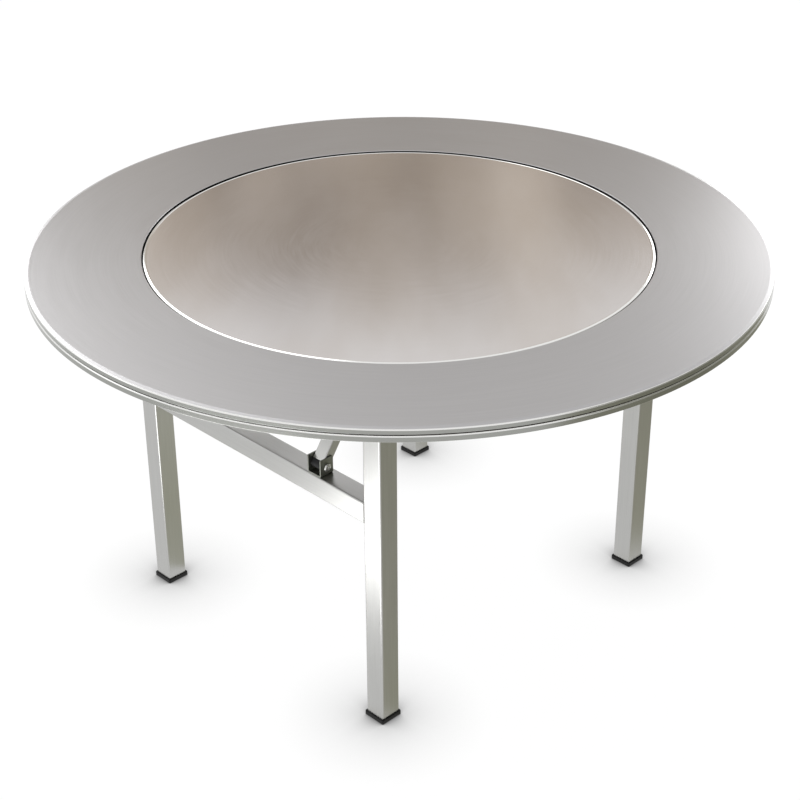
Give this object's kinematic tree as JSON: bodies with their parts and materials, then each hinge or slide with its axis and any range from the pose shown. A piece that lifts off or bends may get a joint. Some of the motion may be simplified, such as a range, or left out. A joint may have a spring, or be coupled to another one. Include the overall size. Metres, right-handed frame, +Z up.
{
  "type": "dining table with lazy susan",
  "caption": "Round steel dining table with a flush turntable in its top and folding square-tube leg frames held by knee braces.",
  "frame": {"origin": "on the floor below the centre of the round top", "axes": "+Z up along the turntable's axis; the leg frames fold about axes along Y and stand at -X and +X"},
  "size_m": [1.4, 1.4, 0.742],
  "materials": {
    "brushed_sheet": "fine-brushed stainless sheet",
    "polished_sheet": "polished stainless sheet",
    "tube_steel": "satin stainless tube",
    "bracket_steel": "plain zinc-plated steel",
    "fastener_steel": "bright plated steel",
    "black_plastic": "moulded black polyethylene",
    "cage_nylon": "natural nylon",
    "board": "particle board",
    "bearing_aluminium": "mill-finish extrusion"
  },
  "bodies": {
    "tabletop": {"top_ring_skin": "brushed_sheet", "ring_core_board": "board", "bottom_pan": "brushed_sheet", "bearing_base_ring": "bearing_aluminium", "bearing_base_screws": "fastener_steel", "front_rail": "tube_steel", "rear_rail": "tube_steel", "left_cross_rail": "tube_steel", "right_cross_rail": "tube_steel", "right_front_hinge_riser": "bracket_steel", "right_rear_hinge_riser": "bracket_steel", "left_front_hinge_bracket": "bracket_steel", "left_rear_hinge_bracket": "bracket_steel", "right_front_hinge_bracket": "bracket_steel", "right_rear_hinge_bracket": "bracket_steel", "left_brace_anchors": "bracket_steel", "right_brace_anchors": "bracket_steel", "left_hinge_bolts": "fastener_steel", "right_hinge_bolts": "fastener_steel", "hinge_bracket_screws": "fastener_steel"},
    "turntable": {"turntable_skin": "polished_sheet", "turntable_core": "board", "bearing_top_ring": "bearing_aluminium", "bearing_top_screws": "fastener_steel"},
    "ball_set": {"ball_cage": "cage_nylon", "bearing_balls": "fastener_steel"},
    "left_leg_frame": {"left_crossbar": "tube_steel", "left_leg_plugs": "black_plastic", "left_hinge_bushes": "fastener_steel", "left_brace_bolts": "fastener_steel", "left_front_leg": "tube_steel", "left_front_foot": "black_plastic", "left_front_brace_bracket": "bracket_steel", "left_rear_leg": "tube_steel", "left_rear_foot": "black_plastic", "left_rear_brace_bracket": "bracket_steel"},
    "left_lower_braces": {"left_brace_plugs": "black_plastic", "left_front_brace_tube": "tube_steel", "left_rear_brace_tube": "tube_steel"},
    "left_upper_braces": {"left_knee_yokes": "bracket_steel", "left_knee_rivets": "fastener_steel", "left_brace_rod": "fastener_steel"},
    "right_leg_frame": {"right_crossbar": "tube_steel", "right_leg_plugs": "black_plastic", "right_hinge_bushes": "fastener_steel", "right_brace_bolts": "fastener_steel", "right_front_leg": "tube_steel", "right_front_foot": "black_plastic", "right_front_brace_bracket": "bracket_steel", "right_rear_leg": "tube_steel", "right_rear_foot": "black_plastic", "right_rear_brace_bracket": "bracket_steel"},
    "right_lower_braces": {"right_brace_plugs": "black_plastic", "right_front_brace_tube": "tube_steel", "right_rear_brace_tube": "tube_steel"},
    "right_upper_braces": {"right_knee_yokes": "bracket_steel", "right_knee_rivets": "fastener_steel", "right_brace_rod": "fastener_steel"}
  },
  "joints": [
    {"name": "turntable_spin", "type": "hinge", "parent": "tabletop", "child": "turntable", "pos_m": [0, 0, 0.7398], "axis": [0, 0, 1], "continuous": true},
    {"name": "ball_set_spin", "type": "hinge", "parent": "tabletop", "child": "ball_set", "pos_m": [0, 0, 0.725], "axis": [0, 0, 1], "continuous": true},
    {"name": "left_fold", "type": "hinge", "parent": "tabletop", "child": "left_leg_frame", "pos_m": [-0.36, 0, 0.65935], "axis": [0, -1, 0], "range_deg": [0, 90]},
    {"name": "left_lower_brace_pivot", "type": "hinge", "parent": "left_leg_frame", "child": "left_lower_braces", "pos_m": [-0.364, 0, 0.48247], "axis": [0, -1, 0], "range_deg": [0, 35]},
    {"name": "left_upper_brace_pivot", "type": "hinge", "parent": "tabletop", "child": "left_upper_braces", "pos_m": [-0.22582, 0, 0.6798], "axis": [0, -1, 0], "range_deg": [-40.94, 0]},
    {"name": "right_fold", "type": "hinge", "parent": "tabletop", "child": "right_leg_frame", "pos_m": [0.36, 0, 0.6106], "axis": [0, 1, 0], "range_deg": [0, 90]},
    {"name": "right_lower_brace_pivot", "type": "hinge", "parent": "right_leg_frame", "child": "right_lower_braces", "pos_m": [0.364, 0, 0.48247], "axis": [0, 1, 0], "range_deg": [0, 35]},
    {"name": "right_upper_brace_pivot", "type": "hinge", "parent": "tabletop", "child": "right_upper_braces", "pos_m": [0.22582, 0, 0.6798], "axis": [0, 1, 0], "range_deg": [-21.98, 0]}
  ],
  "couplings": [
    {"joint": "ball_set_spin", "follows": "turntable_spin", "ratio": 0.5},
    {"joint": "left_lower_brace_pivot", "follows": "left_fold", "ratio": 0.38888},
    {"joint": "left_upper_brace_pivot", "follows": "left_fold", "ratio": -0.45483},
    {"joint": "right_lower_brace_pivot", "follows": "right_fold", "ratio": 0.38888},
    {"joint": "right_upper_brace_pivot", "follows": "right_fold", "ratio": -0.24419}
  ]
}
